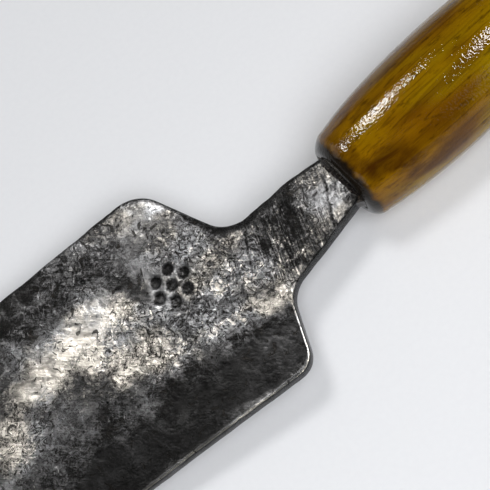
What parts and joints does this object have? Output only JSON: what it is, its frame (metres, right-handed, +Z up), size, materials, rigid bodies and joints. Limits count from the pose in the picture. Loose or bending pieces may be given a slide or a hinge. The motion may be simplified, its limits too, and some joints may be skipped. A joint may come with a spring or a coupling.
{
  "type": "palette knife",
  "caption": "Forged steel palette knife: broad flat spatula blade with sloping shoulders, a tapering neck and a turned, lacquered wooden handle set a little off the blade's line.",
  "frame": {"origin": "on the surface the knife lies on, under the middle of its overall length and width", "axes": "+X along the knife from tip to handle, +Y across the blade, +Z up with the knife lying on its tip and the belly of its handle; the blade's flat underside rises 5.25 degrees from tip to root"},
  "size_m": [0.238, 0.0502, 0.0234],
  "materials": {
    "forged_steel": "hammered and brushed, dark forge scale left in the hollows",
    "lacquered_wood": "amber dye under glossy lacquer",
    "dark_resin": "glossy, cured resin"
  },
  "bodies": {
    "root": {"forged_blade": "forged_steel", "turned_handle": "lacquered_wood", "tang_adhesive": "dark_resin"}
  },
  "joints": []
}
